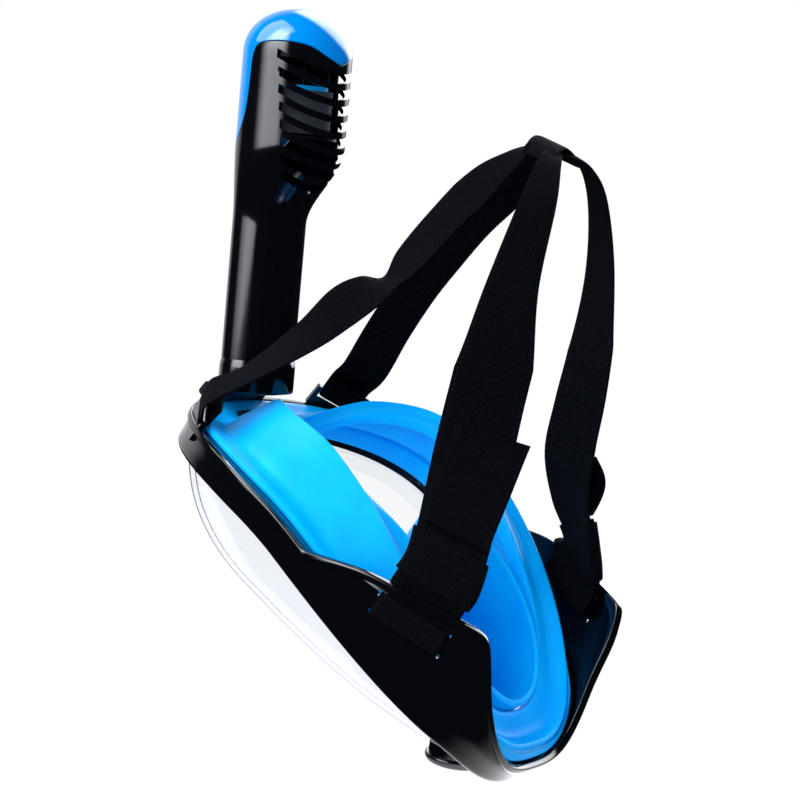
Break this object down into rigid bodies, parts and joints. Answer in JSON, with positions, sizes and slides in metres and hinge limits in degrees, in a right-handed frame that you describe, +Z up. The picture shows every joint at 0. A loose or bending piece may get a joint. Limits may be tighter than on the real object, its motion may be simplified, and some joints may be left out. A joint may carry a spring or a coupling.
{
  "type": "snorkel mask",
  "caption": "Full-face snorkel mask: clear domed lens in a black winged frame, blue silicone skirt, upright dry-top snorkel and a four-strap elastic head harness.",
  "frame": {"origin": "centre of the face opening, on the mask's plane of symmetry", "axes": "+Z up in the swimming posture, along the tall direction; +X to the wearer's left; -Y the way the swimmer's brow faces. The face plane is pitched 45 degrees forward, and the snorkel leans 6.2 degrees back of +Z"},
  "size_m": [0.1928, 0.2458, 0.4184],
  "materials": {
    "shell_black": "gloss",
    "clear_lens": "clear gloss",
    "clear_duct": "clear gloss",
    "silicone_blue": "satin silicone",
    "flap_silicone": "satin",
    "valve_plastic": "satin",
    "cover_blue": "gloss",
    "float_foam": "matte",
    "webbing": "woven elastic",
    "hook_tape": "woven, napped"
  },
  "bodies": {
    "mask": {"frame": "shell_black", "lens": "clear_lens", "clamp_ring": "shell_black", "skirt": "silicone_blue", "nose_pocket": "silicone_blue", "inhale_seat_left": "valve_plastic", "inhale_seat_right": "valve_plastic", "air_duct_left": "clear_duct", "air_duct_right": "clear_duct", "drain_housing": "shell_black", "drain_cover": "shell_black", "snorkel_socket": "shell_black", "air_port_sleeve": "valve_plastic", "upper_strap_left": "webbing", "upper_strap_right": "webbing", "lower_strap_left": "webbing", "lower_strap_right": "webbing", "keeper_sleeve_left": "webbing", "keeper_sleeve_right": "webbing", "crown_patch": "webbing"},
    "snorkel": {"snorkel_tube": "shell_black", "channel_divider": "valve_plastic", "socket_seal": "flap_silicone", "snorkel_front_cover": "cover_blue", "float_chamber": "valve_plastic", "valve_seat": "valve_plastic"},
    "float": {"float": "float_foam", "float_seal": "silicone_blue"},
    "inhale_flap_left": {"inhale_flap_left": "flap_silicone"},
    "inhale_flap_right": {"inhale_flap_right": "flap_silicone"},
    "drain_flap": {"drain_flap": "flap_silicone"},
    "exhale_flap_left": {"exhale_flap_left": "flap_silicone"},
    "exhale_flap_right": {"exhale_flap_right": "flap_silicone"},
    "release_button_left": {"release_button_left": "shell_black"},
    "release_button_right": {"release_button_right": "shell_black"},
    "hook_tab_left": {"hook_tab_left": "hook_tape"},
    "hook_tab_right": {"hook_tab_right": "hook_tape"}
  },
  "joints": [
    {"name": "snorkel_slide", "type": "slide", "parent": "mask", "child": "snorkel", "axis": [0, 0.108, 0.9942], "range_m": [0, 0.04]},
    {"name": "float_slide", "type": "slide", "parent": "snorkel", "child": "float", "axis": [0, 0.108, 0.9942], "range_m": [0, 0.013]},
    {"name": "inhale_lift_left", "type": "slide", "parent": "mask", "child": "inhale_flap_left", "axis": [0, 0.7071, 0.7071], "range_m": [0, 0.0012]},
    {"name": "inhale_lift_right", "type": "slide", "parent": "mask", "child": "inhale_flap_right", "axis": [0, 0.7071, 0.7071], "range_m": [0, 0.0012]},
    {"name": "drain_lift", "type": "slide", "parent": "mask", "child": "drain_flap", "axis": [0, -0.1736, -0.9848], "range_m": [0, 0.0012]},
    {"name": "exhale_lift_left", "type": "slide", "parent": "mask", "child": "exhale_flap_left", "axis": [0, 0.108, 0.9942], "range_m": [0, 0.0012]},
    {"name": "exhale_lift_right", "type": "slide", "parent": "mask", "child": "exhale_flap_right", "axis": [0, 0.108, 0.9942], "range_m": [0, 0.0012]},
    {"name": "release_press_left", "type": "slide", "parent": "mask", "child": "release_button_left", "axis": [-0.9063, -0.4201, 0.0456], "range_m": [0, 0.0012]},
    {"name": "release_press_right", "type": "slide", "parent": "mask", "child": "release_button_right", "axis": [0.9063, -0.4201, 0.0456], "range_m": [0, 0.0012]},
    {"name": "hook_peel_left", "type": "hinge", "parent": "mask", "child": "hook_tab_left", "pos_m": [0.06654, 0.10386, 0.0443], "axis": [-0.3193, 0.8352, -0.4478], "range_deg": [0, 75]},
    {"name": "hook_peel_right", "type": "hinge", "parent": "mask", "child": "hook_tab_right", "pos_m": [-0.06654, 0.10386, 0.0443], "axis": [-0.3193, -0.8352, 0.4478], "range_deg": [0, 75]}
  ]
}
